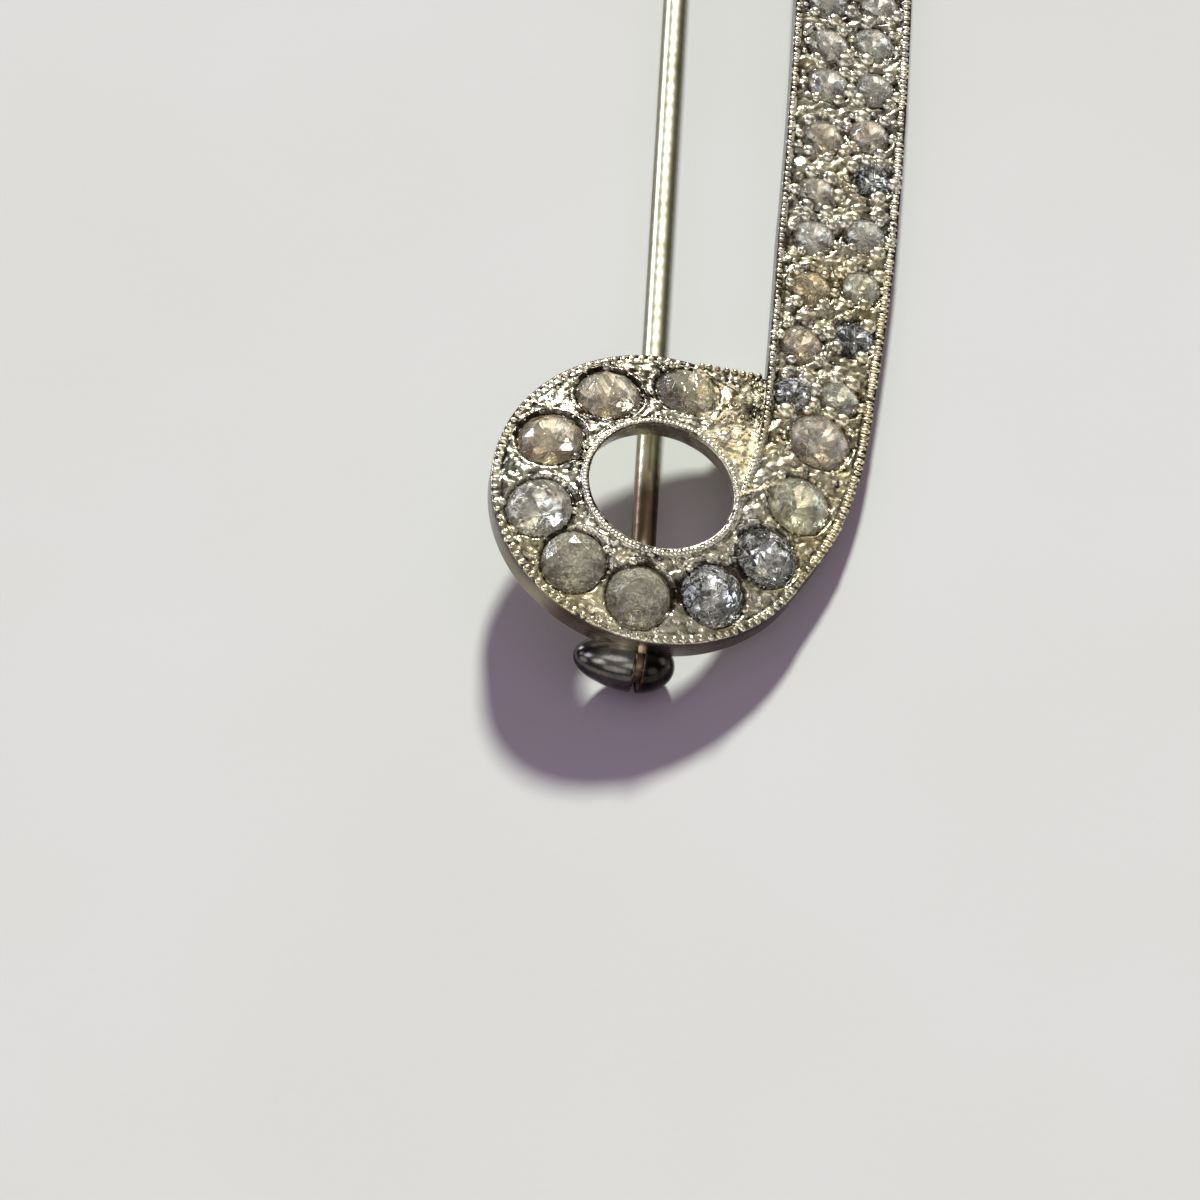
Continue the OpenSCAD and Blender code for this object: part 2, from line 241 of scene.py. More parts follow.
class Tree:
    """A node tree, with short ways to add the nodes that the materials share."""

    def __init__(self, tree):
        self.nodes = tree.nodes
        self.links = tree.links
        self.place = self.nodes.new("ShaderNodeTexCoord").outputs

    def feed(self, socket, value):
        """Sets a socket to a number, a direction or a colour, or links an output to it."""
        if isinstance(value, (int, float, Vector)):
            socket.default_value = value
        elif isinstance(value, tuple):
            socket.default_value = (*value, 1)
        else:
            self.links.new(value, socket)

    def add(self, kind, **values):
        """A new node. Each value goes to its property of that name, or else to its input."""
        n = self.nodes.new(kind)
        for key, value in values.items():
            if hasattr(n, key):
                setattr(n, key, value)
            else:
                self.feed(n.inputs[key.replace("_", " ")], value)
        return n

    def noise(self, scale, detail=4, rough=0.6):
        n = self.add(
            "ShaderNodeTexNoise", Vector=self.place["Object"], Scale=scale, Detail=detail, Roughness=rough)
        return n.outputs["Fac"]

    def tone(self, amount, *stops):
        """Colour for an amount, from stops of place and colour."""
        n = self.add("ShaderNodeValToRGB", Fac=amount)
        ends = n.color_ramp.elements
        for end, (place, colour) in zip(ends, (stops[0], stops[-1])):
            end.position, end.color = place, (*colour, 1)
        for place, colour in stops[1:-1]:
            ends.new(place).color = (*colour, 1)
        return n.outputs["Color"]

    def mix(self, amount, a, b, blend="MIX"):
        n = self.add("ShaderNodeMix", data_type="RGBA", blend_type=blend)
        for socket, value in zip((n.inputs[0], n.inputs[6], n.inputs[7]), (amount, a, b)):
            self.feed(socket, value)
        return n.outputs[2]

    def spread(self, value, start, end, low=0.0, high=1.0, smooth=False):
        """Maps the values from start to end onto low to high."""
        n = self.add(
            "ShaderNodeMapRange", interpolation_type="SMOOTHSTEP" if smooth else "LINEAR",
            Value=value, From_Min=start, From_Max=end, To_Min=low, To_Max=high)
        return n.outputs["Result"]

    def attribute(self, name):
        return self.add("ShaderNodeAttribute", attribute_name=name).outputs["Fac"]

    def channel(self, kind, source, name):
        """One channel of a direction or a colour."""
        n = self.add(kind)
        self.links.new(source, n.inputs[0])
        return n.outputs[name]

    def bump(self, height, strength, distance, below=None):
        n = self.add("ShaderNodeBump", Height=height, Strength=strength, Distance=distance)
        if below:
            self.links.new(below, n.inputs["Normal"])
        return n.outputs["Normal"]


class Material(Tree):
    """A material of one shader."""

    def __init__(self, name):
        self.made = bpy.data.materials.new(name)
        self.made.use_nodes = True
        super().__init__(self.made.node_tree)

    def surface(self, **values):
        """Sets or links the shader's inputs, and gives the finished material."""
        for key, value in values.items():
            self.feed(self.nodes["Principled BSDF"].inputs[key.replace("_", " ")], value)
        return self.made


def cast_material(name, base, grain, worn=True):
    """Worn silver over white metal: gold-brown where rubbed, darkened by tarnish and by painted shade in its
    crevices and on faces turned from the light.
    """
    m = Material(name)
    cloud = m.noise(900, 6)
    colour = m.tone(
        cloud, (0.34, tuple(c * 0.45 for c in base)), (0.48, base),
        (0.6, (base[0], base[1] * 0.96, base[2] * 0.82)), (0.74, (0.93, 0.92, 0.88)))
    if worn:
        colour = m.mix(m.attribute("gold"), colour, (0.7, 0.56, 0.27))
        # near black where tarnished and where shade is painted in
        colour = m.mix(m.attribute("grime_and_shade"), colour, (0.035, 0.026, 0.02))
    return m.surface(
        Metallic=1, Base_Color=colour, Roughness=m.spread(cloud, 0, 1, 0.14, 0.34),
        Normal=m.bump(m.noise(5200, 3), grain, 0.00006))


def gunmetal():
    """Dark polished metal of the ball joint, brown in the seam, near black on its right half from stain and
    painted shade, and darker towards the foot of its left half as a painted reflection of the shaded floor.
    """
    m = Material("joint_metal")
    cloud = m.noise(700, 5)
    tone = m.tone(cloud, (0.36, (0.07, 0.065, 0.065)), (0.5, (0.15, 0.145, 0.14)), (0.64, (0.24, 0.23, 0.21)))
    mottle = m.tone(
        cloud, (0.44, (0.015, 0.012, 0.01)), (0.58, (0.05, 0.038, 0.03)), (0.68, (0.2, 0.18, 0.16)))
    skin = m.mix(m.attribute("grime_and_shade"), tone, mottle)
    return m.surface(
        Metallic=1, Base_Color=m.mix(m.attribute("seam"), skin, (0.1, 0.06, 0.035)), Roughness=0.18,
        Normal=m.bump(m.noise(2600, 4), 0.12, 0.00004))


def wire_metal():
    """Drawn wire with a worn silver-gold skin and faint rings, its sides darkened as a painted reflection and
    its length from inside the loop's hole to the joint darkened as a painted shadow of the loop.
    """
    m = Material("pin_metal")
    skin = m.tone(
        m.noise(500, 6), (0.3, (0.5, 0.45, 0.31)), (0.5, (0.78, 0.75, 0.58)), (0.7, (0.9, 0.89, 0.76)))
    # painted reflection: darker towards the sides, as if they reflected dark surroundings
    across = m.channel("ShaderNodeSeparateXYZ", m.place["Normal"], "X")
    away = m.add("ShaderNodeMath", operation="ABSOLUTE")
    m.links.new(across, away.inputs[0])
    side = m.spread(away.outputs[0], 0.3, 0.72, high=0.85, smooth=True)
    # painted shadow of the loop: darker from inside the hole on towards the joint
    shadow_from, shadow_to = -0.0215, -0.0235
    painted_shade = m.spread(m.channel("ShaderNodeSeparateXYZ", m.place["Object"], "Y"), shadow_from, shadow_to, high=0.93)
    rings = m.add(
        "ShaderNodeTexWave", Vector=m.place["Object"],
        Scale=430, Distortion=3.0, Detail=3, bands_direction="Y")
    return m.surface(
        Metallic=1, Roughness=0.34,
        Base_Color=m.mix(painted_shade, m.mix(side, skin, (0.13, 0.12, 0.07)), (0.12, 0.075, 0.05)),
        Normal=m.bump(rings.outputs["Fac"], 0.3, 0.00003))


def paste(name, tint, rough, clear, haze, fleck_size=5200, craze=0.35, even=0.085, plain=None):
    """Glass of a cut stone, scratched, crazed and slightly hazy. plain is the flecks' share of tint."""
    m = Material(f"paste_{name}")
    flecks = m.tone(
        m.noise(fleck_size, 5, 0.7), (0.42 - even, tuple(c * 0.3 for c in haze)), (0.5 - even, haze),
        (0.5 + even, haze), (0.58 + even, tuple(min(1, c * 1.8) for c in haze)))
    crack = m.add(
        "ShaderNodeTexVoronoi", feature="DISTANCE_TO_EDGE",
        Vector=m.place["Object"], Scale=2300, Randomness=1.0)
    crazed = m.bump(m.spread(crack.outputs["Distance"], 0, 0.05), craze, 0.00002)
    return m.surface(
        Base_Color=m.mix(plain or clear, flecks, tint), IOR=1.55, Transmission_Weight=clear,
        Roughness=m.spread(m.noise(1500, 6, 0.7), 0.35, 0.75, rough * 0.4, rough * 2),
        Normal=m.bump(m.noise(4200, 5, 0.75), 0.12, 0.00002, crazed))


def foil(name, light, dark, rough=0.2, cell=2600, wild=0.3):
    """Old foil behind a stone, mottled and crazed in cells, with painted reflections: each facet gets its own
    brightness from dark to light.
    """
    m = Material(f"foil_{name}")
    half = tuple((a + b) / 2 for a, b in zip(light, dark))
    mottle = m.tone(m.noise(1700, 6, 0.75), (0.36, dark), (0.5, half), (0.6, light))
    cells = m.add("ShaderNodeTexVoronoi", Vector=m.place["Object"], Scale=cell, Randomness=1.0)
    chance = [m.channel("ShaderNodeSeparateColor", cells.outputs["Color"], name) for name in ("Red", "Green")]
    # painted reflection: each facet's own brightness between the dark and light colours
    facets = m.mix(m.attribute("cut"), dark, light)
    shade = m.mix(0.45, facets, m.mix(chance[0], dark, light))
    return m.surface(
        Metallic=1, Base_Color=m.mix(0.3, shade, mottle), Roughness=rough,
        Normal=m.bump(chance[1], wild, 0.0001))


def paper():
    m = Material("paper")
    colour = m.tone(m.noise(26, 3), (0.35, (0.765, 0.76, 0.735)), (0.65, (0.785, 0.785, 0.77)))
    return m.surface(
        Base_Color=colour, Roughness=0.85, Specular_IOR_Level=0.2,
        Normal=m.bump(m.noise(1800, 5), 0.1, 0.00005))


METAL = cast_material("cast_metal", (0.73, 0.685, 0.605), 0.5)
PLAIN = cast_material("cast_plain", (0.55, 0.52, 0.45), 0.3, worn=False)
CLEAR = paste("clear", (0.99, 0.99, 0.96), 0.04, 0.92, (0.6, 0.6, 0.5))
SHARP = paste("sharp", (1.0, 1.0, 1.0), 0.03, 0.985, (0.4, 0.4, 0.4))
WARM = paste("warm", (0.99, 0.97, 0.88), 0.06, 0.92, (0.58, 0.53, 0.36))
MILKY = paste("milky", (0.93, 0.91, 0.8), 0.14, 0.66, (0.54, 0.51, 0.38), 6000, 1.0, 0.0, 0.3)
AMBER = paste("amber", (0.98, 0.94, 0.78), 0.07, 0.92, (0.54, 0.47, 0.28))
GREEN = paste("green", (0.98, 0.98, 0.9), 0.05, 0.93, (0.48, 0.47, 0.32))
FOILS = {
    "amber": foil("amber", (0.97, 0.84, 0.6), (0.42, 0.28, 0.15)),
    "violet": foil("violet", (0.99, 0.96, 0.88), (0.44, 0.36, 0.28)),
    "beige": foil("beige", (0.98, 0.91, 0.78), (0.5, 0.36, 0.23)),
    "silver": foil("silver", (1.0, 0.99, 0.95), (0.4, 0.34, 0.24), 0.18),
    "dull": foil("dull", (0.97, 0.93, 0.8), (0.24, 0.19, 0.12), 0.3, 3600, 0.5),
    # the bright foil's facets run from white to near black: painted reflections of the sharpest stones
    "bright": foil("bright", (1.0, 1.0, 1.0), (0.02, 0.016, 0.014), 0.06, 1500, 0.1),
    "green": foil("green", (0.98, 0.96, 0.8), (0.5, 0.44, 0.28)),
    "brown": foil("brown", (0.95, 0.84, 0.66), (0.36, 0.24, 0.14)),
}
# how far the foil's facets stand out of true, as a share of the stone's width
CRUMPLE = {"bright": 0.03, "dull": 0.025}
LEAST_CRUMPLE = 0.008
# glass and foil of each stone, from the loop's end round the loop and up the bar
LOOP_LOOKS = [
    (AMBER, "violet"), (WARM, "beige"), (WARM, "beige"), (CLEAR, "silver"), (MILKY, "dull"),
    (MILKY, "dull"), (SHARP, "bright"), (SHARP, "bright"), (GREEN, "green"), (CLEAR, "beige"),
]
BAR_LOOKS = [
    (SHARP, "bright"), (CLEAR, "green"), (WARM, "brown"), (SHARP, "bright"), (AMBER, "amber"),
    (GREEN, "green"), (CLEAR, "violet"), (CLEAR, "silver"), (WARM, "violet"), (SHARP, "bright"),
    (WARM, "beige"), (CLEAR, "beige"), (CLEAR, "violet"), (CLEAR, "silver"), (CLEAR, "violet"),
    (CLEAR, "silver"), (CLEAR, "silver"), (CLEAR, "violet"),
]


# Pieces

def piece(name, verts, faces, mats, smooth=True, floats=None, index=None):
    """A mesh in millimetres of the construction's own axes, laid at rest."""
    me = bpy.data.meshes.new(name)
    me.from_pydata([REST @ Vector(v) for v in verts], [], faces)
    for m in mats:
        me.materials.append(m)
    if index:
        me.polygons.foreach_set("material_index", index)
    me.polygons.foreach_set("use_smooth", [smooth] * len(me.polygons))
    for key, values in (floats or {}).items():
        domain = "POINT" if len(values) == len(me.vertices) else "FACE"
        me.attributes.new(key, "FLOAT", domain).data.foreach_set("value", values)
    me.update()
    ob = bpy.data.objects.new(name, me)
    bpy.context.scene.collection.objects.link(ob)
    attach(ob, "brooch")
    return ob


def grid(rows, columns, keep=None, flip=False):
    """Faces of a grid of points, each with its four corners kept."""
    faces = []
    for i in range(rows - 1):
        for j in range(columns - 1):
            a = i * columns + j
            q = (a, a + 1, a + columns + 1, a + columns)
            if keep is None or all(keep[k] for k in q):
                faces.append((q[0], q[3], q[2], q[1]) if flip else q)
    return faces


def ball(level):
    """Points and faces of a round bead."""
    bm = bmesh.new()
    bmesh.ops.create_icosphere(bm, subdivisions=level, radius=1)
    points = [v.co.copy() for v in bm.verts]
    faces = [tuple(v.index for v in f.verts) for f in bm.faces]
    bm.free()
    return points, faces


# round beads, fine and plain
FINE = ball(2)
COARSE = ball(1)


class Beads:
    """Many small beads gathered into one mesh."""

    LUMPS = 0.16
    # painted shade: points of the unit bead below this height are darkened by the next amount, as if in the
    # bead's own shadow
    FOOT_BELOW = -0.25
    FOOT_SHADE = 0.6

    def __init__(self):
        self.verts, self.faces, self.gold, self.grime_and_shade = [], [], [], []

    def add(self, p, r, gold=0.0, grime_and_shade=0.0, flat=0.8, shape=FINE, stretch=1.0, heading=0.0):
        """A lumpy bead of radius r at p, stretched across its heading, with painted shade darkening its foot.
        """
        points, faces = shape
        n = len(self.verts)
        c, w = math.cos(math.radians(heading)), math.sin(math.radians(heading))
        lump = Vector((p[0] * 7, p[1] * 7, 1))
        for q in points:
            k = 1 + self.LUMPS * noise.noise(q * 1.4 + lump)
            x, y = q.x * r * k, q.y * r * k * stretch
            self.verts.append((p[0] + x * c - y * w, p[1] + x * w + y * c, p[2] + q.z * r * k * flat))
            self.gold.append(gold)
            painted_shade = self.FOOT_SHADE if q.z < self.FOOT_BELOW else 0
            self.grime_and_shade.append(max(0, min(1, grime_and_shade + painted_shade)))
        self.faces += [tuple(i + n for i in f) for f in faces]

    def make(self, name):
        floats = {"gold": self.gold, "grime_and_shade": self.grime_and_shade}
        return piece(name, self.verts, self.faces, [METAL], floats=floats)


def bump01(d, size):
    """Soft bump of height 1 where d is 0."""
    return math.exp(-(d / size) ** 2)


# Warm patches of the worn plating: place x, y, size, strength
GOLD_SPOTS = [
    (10.4, 6, 3.2, 0.75), (10.6, 12, 3.4, 0.6), (9.6, 1.5, 2.2, 0.75), (7.3, -1.2, 1.6, 0.8),
    (3.3, 5.6, 1.9, 0.7), (5.0, 4.0, 1.5, 0.6), (-6.8, 3.5, 2.2, 0.5), (-6.5, -4.5, 3.0, 0.65),
    (-3.4, -7.0, 2.5, 0.6), (3.9, -6.6, 2.4, 0.4), (-2.2, 6.5, 2.0, 0.4), (7.0, 13.5, 2.0, 0.5),
    (8.0, 19.0, 1.5, 0.4), (6.5, -3.6, 1.4, 0.5), (6, 25, 2, 0.3),
]
# Dark patches of tarnish and painted shade, the broad one on the loop's top arc dimming the key light's
# reflection there, or lighter ones where the strength is below zero: place x, y, size, strength
DARK_SPOTS = [
    (4.1, 5.5, 0.55, 1.0), (3.4, 7.3, 0.8, 0.5), (-3.95, 0.9, 0.7, 0.9), (-5.9, 2.8, 0.7, 0.6),
    (4.6, 7.4, 0.5, 0.3), (-2.6, 6.2, 3.2, 0.75), (-0.6, 4.1, 1.0, 0.3), (0.9, 6.6, 0.5, 0.4),
    (-4.4, -1.9, 0.6, 0.9), (1.9, -5.9, 0.5, 0.6), (-6.9, 1.2, 0.7, 0.6), (-6.3, 3.6, 1.6, 0.35),
    (-3.5, -1.2, 0.5, 0.8), (4.2, -1.9, 0.5, 0.9), (-0.4, -4.2, 0.6, 0.5), (-3.2, 2.9, 0.9, 0.5),
    (-0.9, -7.0, 1.5, -0.9), (-4.6, -5.6, 1.0, -0.3), (2.2, -6.6, 1.0, -0.4),
]
# Tarnish and painted shade between each stone of the loop and the next: strength, from the loop's end
TARNISH_AND_SHADE = (0.2, 0.3, 0.4, 0.7, 0.5, 1.3, 1.0, 0.3, 0.3)
TARNISH_AND_SHADE_SPOTS = [
    ((a.x + b.x) / 2, (a.y + b.y) / 2, 0.45 + 0.25 * strength, strength)
    for (a, _), (b, _), strength in zip(girdles, girdles[1:], TARNISH_AND_SHADE)
]
MOST_PATCH = 1.5


def patch(spots, x, y):
    """Strength of the patches at a place."""
    total = sum(a * math.exp(-((x - u) ** 2 + (y - v) ** 2) / (w * w)) for u, v, w, a in spots)
    return min(MOST_PATCH, total)


# The cast strip's skin. It stands proud of the solid's walls by LIP, and its walls start a little
# below the rims. Where the strip is narrower than twice FULL_HALF, its relief shrinks with it.
LIP = 0.015
WALL_TOP = 0.03
FULL_HALF = 1.44
# inner wall, from its foot up: share of the wall's height, darkness round the loop
INNER_WALL = [(1.0, 0.04), (0.5, 0.08), (0.0, 0.2)]
INNER_DARK_BAR = 0.86
# outer wall, from its top down: share of the wall's height, painted shade of a wall turned from the light and
# reflecting shaded floor
OUTER_WALL = [(0.0, 0.95), (0.22, 0.92), (0.4, 0.8), (1.0, 0.72)]
# past this place the plating is plain and pale
WORN_TO_Y = 34
PLAIN_GOLD = 0.2


def walls(s):
    """Rows of the inner wall and of the outer wall: place outwards, height, darkness, which on the outer wall
    is painted shade.
    """
    half = half_w(s)
    draft = HOLE_DRAFT if s < LOOP_END + 0.5 else WALL_DRAFT
    inner, outer = [], []
    for share, dirt_and_shade in INNER_WALL:
        z = surface_z(s, -half) - WALL_H * share - (0 if share else WALL_TOP)
        inner.append((-half - LIP + draft * share, z, dirt_and_shade if s < LOOP_DARKENING_END else INNER_DARK_BAR))
    for share, dirt_and_shade in OUTER_WALL:
        z = surface_z(s, half) - WALL_H * share - (0 if share else WALL_TOP)
        outer.append((half + LIP - WALL_DRAFT * share, z, dirt_and_shade))
    return inner, outer


def bed(s, out):
    """A point of the rough bed or of a rim, its darkness of tarnish and painted shade, and whether it is
    clear of the stones.
    """
    p = at(s, out)
    half = half_w(s)
    scale = min(1, half / FULL_HALF)
    rim = RIM_W * scale
    edge = half - abs(out)
    gap = stone_gap(p)
    q = Vector((p.x, p.y, 0))
    rough = 0.1 * noise.noise(q * 2.1) + 0.06 * noise.noise(q * 4.7) + 0.015 * noise.noise(q * 13)
    collar = 0.1 * bump01(gap - 0.17, 0.13)
    web = 0.1 * bump01(gap - 0.55, 0.3)
    ditch = 0.1 * bump01(gap - 0.02, 0.07)
    lift = 0.13 - RIM_H + rough + collar + web - ditch
    if edge < rim:
        blend = min(1, 1.6 * (1 - edge / rim))
        lift = lift * (1 - blend) + 0.03 * blend + 0.02 * abs(noise.noise(q * 9))
    p.z += lift * scale
    shade_round_stone, below_bed = (0.8, 0) if s < LOOP_DARKENING_END else (0.3, 0.3)
    # darkness: painted shade in the crevice round each stone and in a groove just inside the rim, darker
    # where the bed dips, random tarnish, a darker bar, tarnish and painted shade between the stones, and
    # painted shade on the rim between its beads
    dark = shade_round_stone * bump01(gap - 0.02, 0.08) + 0.75 * max(0, -rough) / 0.08
    dark += 0.6 * bump01(edge - rim - 0.12, 0.07) + 0.8 * max(0, noise.noise(q * 6.5)) + below_bed
    dark += patch(TARNISH_AND_SHADE_SPOTS, p.x, p.y) + (0.55 if edge < rim else 0)
    return p, dark, gap > -0.1


def cast_skin():
    """The strip's walls, rims and bed, rough between the stones."""
    steps = int(STRIP_END / 0.1)
    across = 54
    verts, gold, grime_and_shade, keep = [], [], [], []
    for i in range(steps + 1):
        s = STRIP_END * i / steps
        half = half_w(s)
        inner, outer = [
            [(at(s, out, z - surface_z(s, out)), dirt_and_shade, True) for out, z, dirt_and_shade in wall] for wall in walls(s)
        ]
        middle = [bed(s, -half + 2 * half * k / across) for k in range(across + 1)]
        for p, dark, clear in inner + middle + outer:
            verts.append(p)
            keep.append(clear)
            grime_and_shade.append(max(0, min(1, dark + patch(DARK_SPOTS, p.x, p.y))))
            streak = 0.75 + 0.5 * noise.noise(Vector((p.x, p.y, 3)) * 3)
            gold.append(min(1, patch(GOLD_SPOTS, p.x, p.y) * streak) if p.y < WORN_TO_Y else PLAIN_GOLD)
    faces = grid(steps + 1, len(verts) // (steps + 1), keep, flip=True)
    return piece("cast_skin", verts, faces, [METAL], floats={"gold": gold, "grime_and_shade": grime_and_shade})


# rows of milgrain: side of the strip, pitch, radius, distance in from the edge, stretch along the row
RIM_ROWS = [(1, 0.31, 0.17, 0, 1.45), (-1, 0.3, 0.16, 0, 1.15), (-1, 0.25, 0.115, 0.34, 1.1)]


def rim_beads():
    """Milgrain: rows of touching beads along both edges and round the hole."""
    rng = random.Random(4)
    beads = Beads()
    for side, pitch, radius, inset, stretch in RIM_ROWS:
        s = 0.1
        while s < (LOOP_END if inset else STRIP_END - 1.2):
            p = at(s, side * (half_w(s) - radius * stretch + 0.03 - inset), -0.05)
            worn = max(0, noise.noise(Vector((s * 0.35, side * 5, inset))))
            r = radius * (0.9 + 0.2 * rng.random() - 0.1 * worn)
            p.z -= 0.04 * worn - 0.02 * rng.random() + inset * 0.2
            gold = patch(GOLD_SPOTS, p.x, p.y) * (0.5 + 0.5 * rng.random())
            if not inset or stone_gap(p) > 0.06:
                beads.add(
                    p, r, gold=gold, grime_and_shade=rng.choice((0, 0, 0.2)), flat=0.7, stretch=stretch,
                    heading=along(s)[2])
            s += pitch * (0.9 + 0.2 * rng.random())
    row_r, row_pitch = HOLE_R + 0.16, 0.25
    turn = -30
    while turn < LOOP_START + 6:
        r = 0.14 * (0.9 + 0.2 * rng.random())
        a = math.radians(turn)
        beads.add((row_r * math.cos(a), row_r * math.sin(a), -0.08), r, gold=0.1, flat=0.62)
        turn += math.degrees(row_pitch / row_r)
    return beads.make("rim_beads")


def prong_beads():
    """Beads of metal pressed over the stones' edges, and grains between them."""
    rng = random.Random(11)
    beads = Beads()

    def place(s, out, r, lift, **shape):
        p = at(s, out, -RIM_H + lift)
        gold = patch(GOLD_SPOTS, p.x, p.y) * (0.4 + 0.6 * rng.random())
        grime_and_shade = 0.85 * patch(TARNISH_AND_SHADE_SPOTS, p.x, p.y) + 0.7 * patch(DARK_SPOTS, p.x, p.y)
        grime_and_shade += 0.18 if s > COARSE_FROM else 0
        beads.add(p, r, gold=gold, grime_and_shade=max(0, grime_and_shade), **shape)

    for s, out in bar_places:
        for turn in (30, 100, 150, 210, 280, 330):
            t = math.radians(turn + rng.uniform(-18, 18))
            d = BAR_D / 2 + rng.uniform(-0.04, 0.14)
            o = out + d * math.sin(t)
            if abs(o) < half_w(s) - 0.35:
                place(s + d * math.cos(t), o, rng.uniform(0.22, 0.46), rng.uniform(0.12, 0.22), flat=0.75)
    for s, out in loop_places:
        for turn in (62, 118, 242, 298):
            t = math.radians(turn + rng.uniform(-14, 14))
            d = LOOP_D / 2 + rng.uniform(0.08, 0.2)
            bend = LOOP_MID / (LOOP_MID + out) if s < LOOP_END else 1
            o = out + d * math.sin(t)
            if abs(o) < half_w(s) - 0.3:
                r = rng.uniform(0.12, 0.24)
                place(s + d * math.cos(t) * bend, o, r, rng.uniform(0.1, 0.2), flat=0.7)
    grains = 820
    while grains:
        s = rng.uniform(0.2, STRIP_END - 0.8)
        half = half_w(s)
        out = rng.uniform(-half + 0.3, half - 0.3)
        gap = stone_gap(at(s, out))
        if gap > 0.07:
            r = rng.uniform(0.05, 0.13) * (1.5 if s > COARSE_FROM else 1)
            lift = 0.14 + 0.1 * bump01(gap - 0.17, 0.13) + rng.uniform(-0.03, 0.03)
            place(s, out, r, lift, flat=0.8, shape=COARSE)
            grains -= 1
    return beads.make("prong_beads")


WEDGE_UP = (
    Matrix.Rotation(math.radians(-WEDGE_FALL), 3, "X")
    @ Matrix.Rotation(math.radians(WEDGE_SLOPE), 3, "Y") @ Vector((0, 0, 1))
)


def wedge_z(x, y):
    """Height of the wedge's top."""
    up = WEDGE_UP
    return -WEDGE_DEPTH - (up.x * (x - WEDGE_CORNER[0]) + up.y * (y - WEDGE_CORNER[1])) / up.z


def on_wedge(x, y, margin):
    """Whether a place is on the wedge, a margin away from the hole."""
    odd = False
    for (x0, y0), (x1, y1) in zip(WEDGE, WEDGE[1:] + WEDGE[:1]):
        if (y0 > y) != (y1 > y) and x < (x1 - x0) * (y - y0) / (y1 - y0) + x0:
            odd = not odd
    return odd and math.hypot(x, y) > HOLE_R + margin


def wedge_skin():
    """Rough gold-brown metal of the wedge between the loop and the bar."""
    step = 0.06
    from_x, from_y = 1.15, -0.1
    columns, rows = int(4.6 / step) + 1, int(8.2 / step) + 1
    verts, gold, grime_and_shade, keep = [], [], [], []
    for j in range(rows):
        for i in range(columns):
            x, y = from_x + i * step, from_y + j * step
            q = Vector((x, y, 7))
            rough = 0.08 * noise.noise(q * 1.7) + 0.035 * noise.noise(q * 5) + 0.012 * noise.noise(q * 13)
            verts.append((x, y, wedge_z(x, y) + 0.07 + rough))
            gold.append(max(0, min(1, 0.3 + 0.5 * noise.noise(q * 2))))
            # darker where the surface dips, and in the dark patches
            grime_and_shade.append(max(0, min(1, max(0, -rough - 0.04) + patch(DARK_SPOTS, x, y))))
            keep.append(on_wedge(x, y, 0.1))
    faces = grid(rows, columns, keep)
    return piece("wedge_skin", verts, faces, [METAL], floats={"gold": gold, "grime_and_shade": grime_and_shade})


def wedge_grains():
    """Grains on the wedge, a row of beads along its top edge and one large bead beside the hole."""
    rng = random.Random(3)
    beads = Beads()
    grains = 90
    while grains:
        x, y = rng.uniform(1.2, 5.5), rng.uniform(0, 7.9)
        if on_wedge(x, y, 0.3) and stone_gap(Vector((x, y, 0))) > 0.05:
            r = rng.uniform(0.05, 0.12)
            p = (x, y, wedge_z(x, y) + 0.1 + rng.uniform(0, 0.05))
            beads.add(p, r, gold=rng.uniform(0.2, 0.9), grime_and_shade=patch(DARK_SPOTS, x, y) * 0.8, shape=COARSE)
            grains -= 1
    edge_y = 7.55
    for x in (1.7, 2.05, 2.45, 2.9, 3.3, 3.7, 4.1, 4.45):
        p = (x, edge_y + 0.09 * (x - 1.7), wedge_z(x, edge_y + 0.05) + 0.1)
        beads.add(p, rng.uniform(0.14, 0.2), gold=0.6, grime_and_shade=0.45)
    x, y = 2.75, 3.35
    beads.add((x, y, wedge_z(x, y) + 0.25), 0.33, gold=0.05, flat=0.9)
    return beads.make("wedge_grains")


# rim beside the wedge, down into the hole: distance out from the hole's radius, height
HOLE_RIM = [
    (0.5, -0.35), (0.42, -0.14), (0.3, -0.09), (0.12, -0.085), (0.02, -0.11), (-0.012, -0.2),
    (0.03, -0.4), (0.11, -0.8), (0.18, -1.2),
]


def hole_rim_skin():
    """The hole's rim beside the wedge, with the hole's smooth wall under it."""
    verts, gold, grime_and_shade = [], [], []
    start, end, steps = -30, LOOP_START + 8, 120
    for i in range(steps + 1):
        a = math.radians(start + (end - start) * i / steps)
        for out, z in HOLE_RIM:
            r = HOLE_R + out + 0.01 * noise.noise(Vector((a * 9, z * 6, 0)))
            verts.append((r * math.cos(a), r * math.sin(a), z))
            gold.append(0.1)
            # painted shade on the rim's top between the beads of the hole's row
            grime_and_shade.append(0.6 if z > -0.13 and out > 0.05 else 0.06)
    faces = grid(steps + 1, len(HOLE_RIM))
    return piece("hole_rim_skin", verts, faces, [METAL], floats={"gold": gold, "grime_and_shade": grime_and_shade})


